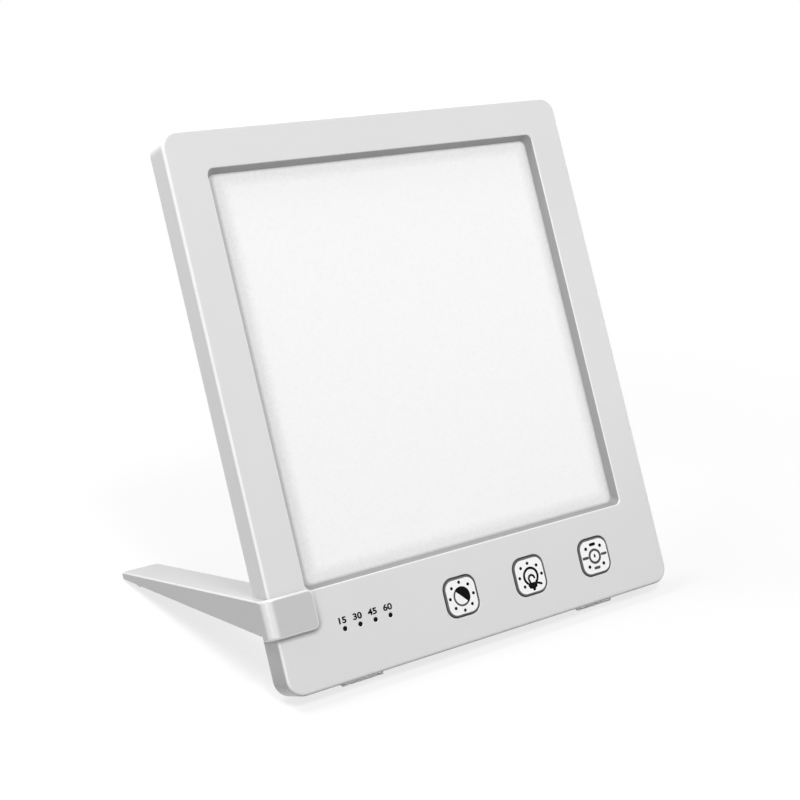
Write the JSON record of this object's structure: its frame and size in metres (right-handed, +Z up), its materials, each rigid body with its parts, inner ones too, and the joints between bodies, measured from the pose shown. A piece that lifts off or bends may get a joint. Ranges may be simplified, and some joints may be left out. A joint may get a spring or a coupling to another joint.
{
  "type": "light panel on a clip-on foot",
  "caption": "Thin flat light panel that leans back on one clip-on foot, with square push keys under a large opal window.",
  "frame": {"origin": "on the table's plane, in the middle of the whole object's box", "axes": "+X to the right seen from the front, +Y backwards, +Z up; the window faces -Y and leans back by 24.5 degrees"},
  "size_m": [0.2034, 0.1516, 0.2149],
  "materials": {
    "housing_grey": "fine moulded ABS",
    "foot_grey": "fine moulded ABS",
    "key_white": "satin white ABS with printed signs",
    "opal_diffuser": "frosted opal acrylic",
    "prism_film": "ribbed clear film",
    "clear_guide": "polished clear acrylic",
    "reflector_white": "white polyester film",
    "tray_aluminium": "folded sheet",
    "screw_steel": "zinc plated",
    "led_board_white": "white solder mask",
    "led_warm": "phosphor gel, warm",
    "led_cool": "phosphor gel, cool",
    "board_green": "green solder mask on glass laminate",
    "chip_black": "moulded epoxy",
    "ferrite": "ferrite drum with a copper winding",
    "capacitor_can": "drawn can",
    "switch_black": "moulded nylon",
    "plunger_dark": "moulded nylon",
    "indicator_led": "small white package",
    "smoked_lens": "smoked acrylic",
    "jack_black": "moulded nylon",
    "jack_metal": "nickel plated brass",
    "header_white": "moulded nylon",
    "lead_red": "PVC insulation",
    "lead_black": "PVC insulation",
    "lead_white": "PVC insulation",
    "rubber_grey": "moulded silicone"
  },
  "bodies": {
    "panel": {"front_housing": "housing_grey", "back_cover": "housing_grey", "case_screws": "screw_steel", "diffuser_plate": "opal_diffuser", "prism_film": "prism_film", "light_guide": "clear_guide", "reflector_sheet": "reflector_white", "backlight_tray": "tray_aluminium", "tray_screws": "screw_steel", "led_board_left": "led_board_white", "led_board_right": "led_board_white", "warm_leds": "led_warm", "cool_leds": "led_cool", "main_board": "board_green", "board_screws": "screw_steel", "control_chip": "chip_black", "driver_transistors": "chip_black", "inductor": "ferrite", "capacitors": "capacitor_can", "switch_bodies": "switch_black", "indicator_leds": "indicator_led", "indicator_lenses": "smoked_lens", "dc_jack": "jack_black", "dc_jack_pin": "jack_metal", "lead_headers": "header_white", "lead_plugs": "header_white", "supply_leads": "lead_red", "warm_leads": "lead_black", "cool_leads": "lead_white", "rubber_feet": "rubber_grey"},
    "brightness_button": {"brightness_key": "key_white", "brightness_plunger": "plunger_dark"},
    "colour_button": {"colour_key": "key_white", "colour_plunger": "plunger_dark"},
    "timer_button": {"timer_key": "key_white", "timer_plunger": "plunger_dark"},
    "foot": {"clip_foot": "foot_grey", "grip_pads": "rubber_grey", "tip_pad": "rubber_grey"}
  },
  "joints": [
    {"name": "brightness_press", "type": "slide", "parent": "panel", "child": "brightness_button", "axis": [0, 0.91, -0.4147], "range_m": [0, 0.0005], "stiffness_N_per_m": 3000, "springref_m": -0.0001},
    {"name": "colour_press", "type": "slide", "parent": "panel", "child": "colour_button", "axis": [0, 0.91, -0.4147], "range_m": [0, 0.0005], "stiffness_N_per_m": 3000, "springref_m": -0.0001},
    {"name": "timer_press", "type": "slide", "parent": "panel", "child": "timer_button", "axis": [0, 0.91, -0.4147], "range_m": [0, 0.0005], "stiffness_N_per_m": 3000, "springref_m": -0.0001},
    {"name": "foot_pull_off", "type": "slide", "parent": "panel", "child": "foot", "axis": [-1, 0, 0], "range_m": [0, 0.025]}
  ]
}
